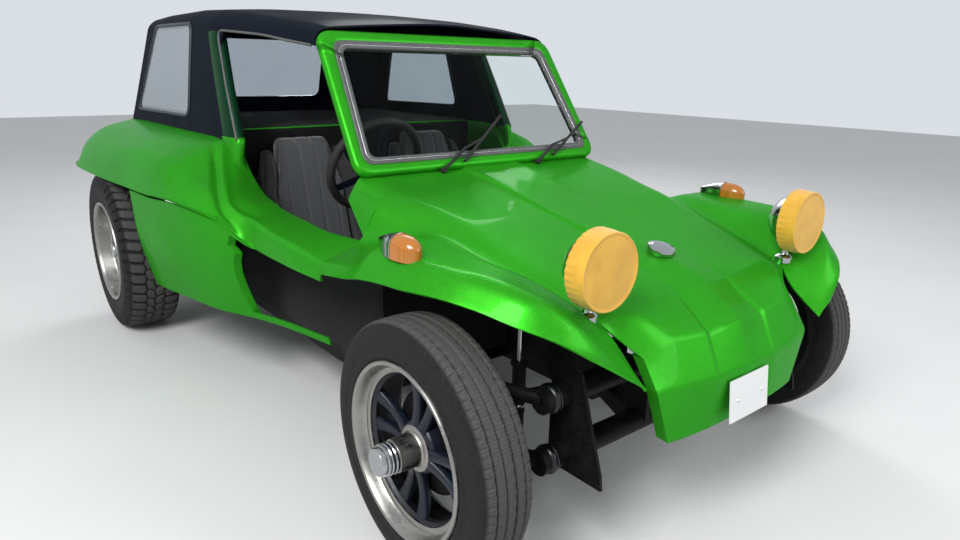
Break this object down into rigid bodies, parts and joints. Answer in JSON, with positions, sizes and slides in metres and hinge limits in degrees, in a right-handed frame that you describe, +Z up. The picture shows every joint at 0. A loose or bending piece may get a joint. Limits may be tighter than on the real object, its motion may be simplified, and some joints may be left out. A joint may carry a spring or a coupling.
{
  "type": "dune buggy",
  "caption": "Short open two-seat buggy with a moulded body, hardtop, side pods, rear engine, steered front wheels and turning road wheels.",
  "frame": {"origin": "on the ground at the middle of the overall length and width", "axes": "+X forward, +Y to the car's left, +Z up"},
  "size_m": [3.181, 1.812, 1.3105],
  "materials": {
    "green_body": "metallic emerald green gel coat with fine flake, high gloss",
    "black_body": "gloss black gel coat",
    "chassis_black": "black enamel on steel",
    "clear_glass": "clear glazing",
    "seal_rubber": "grey-black rubber with a bright bead",
    "trim_black": "matt black trim",
    "seat_cloth": "grey and black cloth",
    "chrome": "bright chrome",
    "polished_alloy": "polished aluminium",
    "yellow_cloth": "yellow fabric cover",
    "amber_lens": "amber lens",
    "red_lens": "red lens",
    "white_plate": "blank white plate",
    "engine_alloy": "cast alloy",
    "exhaust_steel": "dull steel",
    "wheel_grip": "black moulded grip",
    "tyre_rubber": "black tyre rubber"
  },
  "bodies": {
    "chassis": {"floor_pan": "chassis_black", "front_beam": "chassis_black", "front_arms": "chassis_black", "dampers": "chassis_black", "front_moulding": "green_body", "windscreen_glass": "clear_glass", "windscreen_seal": "seal_rubber", "wipers": "trim_black", "rear_tub": "green_body", "side_pods": "green_body", "hardtop": "black_body", "hardtop_windows": "clear_glass", "seats": "seat_cloth", "cabin_trim": "trim_black", "dashboard": "trim_black", "steering_gear": "chassis_black", "floor_controls": "trim_black", "headlamps": "chrome", "lamp_covers": "yellow_cloth", "indicators": "chrome", "indicator_lenses": "amber_lens", "rear_lamps": "red_lens", "filler_cap": "chrome", "number_plate": "white_plate", "fuel_tank": "chassis_black", "engine": "engine_alloy", "fan_housing": "chassis_black", "exhaust": "exhaust_steel", "gearbox": "engine_alloy", "rear_axle": "chassis_black"},
    "steering_wheel": {"steering_wheel": "wheel_grip"},
    "knuckle_right": {"knuckle_right": "chassis_black"},
    "knuckle_left": {"knuckle_left": "chassis_black"},
    "wheel_front_right": {"front_right_tyre": "tyre_rubber", "front_right_rim": "polished_alloy", "front_right_hub": "chrome"},
    "wheel_front_left": {"front_left_tyre": "tyre_rubber", "front_left_rim": "polished_alloy", "front_left_hub": "chrome"},
    "wheel_rear_right": {"rear_right_tyre": "tyre_rubber", "rear_right_rim": "polished_alloy", "rear_right_hub": "chrome"},
    "wheel_rear_left": {"rear_left_tyre": "tyre_rubber", "rear_left_rim": "polished_alloy", "rear_left_hub": "chrome"}
  },
  "joints": [
    {"name": "steer_right", "type": "hinge", "parent": "chassis", "child": "knuckle_right", "pos_m": [1.2, -0.59, 0.297], "axis": [0, 0, 1], "range_deg": [-30, 30]},
    {"name": "steer_left", "type": "hinge", "parent": "chassis", "child": "knuckle_left", "pos_m": [1.2, 0.59, 0.297], "axis": [0, 0, 1], "range_deg": [-30, 30]},
    {"name": "steering_wheel_turn", "type": "hinge", "parent": "chassis", "child": "steering_wheel", "pos_m": [0.305, -0.27, 0.785], "axis": [-0.9063, 0, 0.4226], "range_deg": [-420, 420]},
    {"name": "spin_front_right", "type": "hinge", "parent": "knuckle_right", "child": "wheel_front_right", "pos_m": [1.2, -0.69, 0.297], "axis": [0, 1, 0], "continuous": true},
    {"name": "spin_front_left", "type": "hinge", "parent": "knuckle_left", "child": "wheel_front_left", "pos_m": [1.2, 0.69, 0.297], "axis": [0, 1, 0], "continuous": true},
    {"name": "spin_rear_right", "type": "hinge", "parent": "chassis", "child": "wheel_rear_right", "pos_m": [-0.85, -0.8, 0.332], "axis": [0, 1, 0], "continuous": true},
    {"name": "spin_rear_left", "type": "hinge", "parent": "chassis", "child": "wheel_rear_left", "pos_m": [-0.85, 0.8, 0.332], "axis": [0, 1, 0], "continuous": true}
  ],
  "couplings": [
    {"joint": "steer_left", "follows": "steer_right", "ratio": 1},
    {"joint": "steering_wheel_turn", "follows": "steer_right", "ratio": 14}
  ]
}
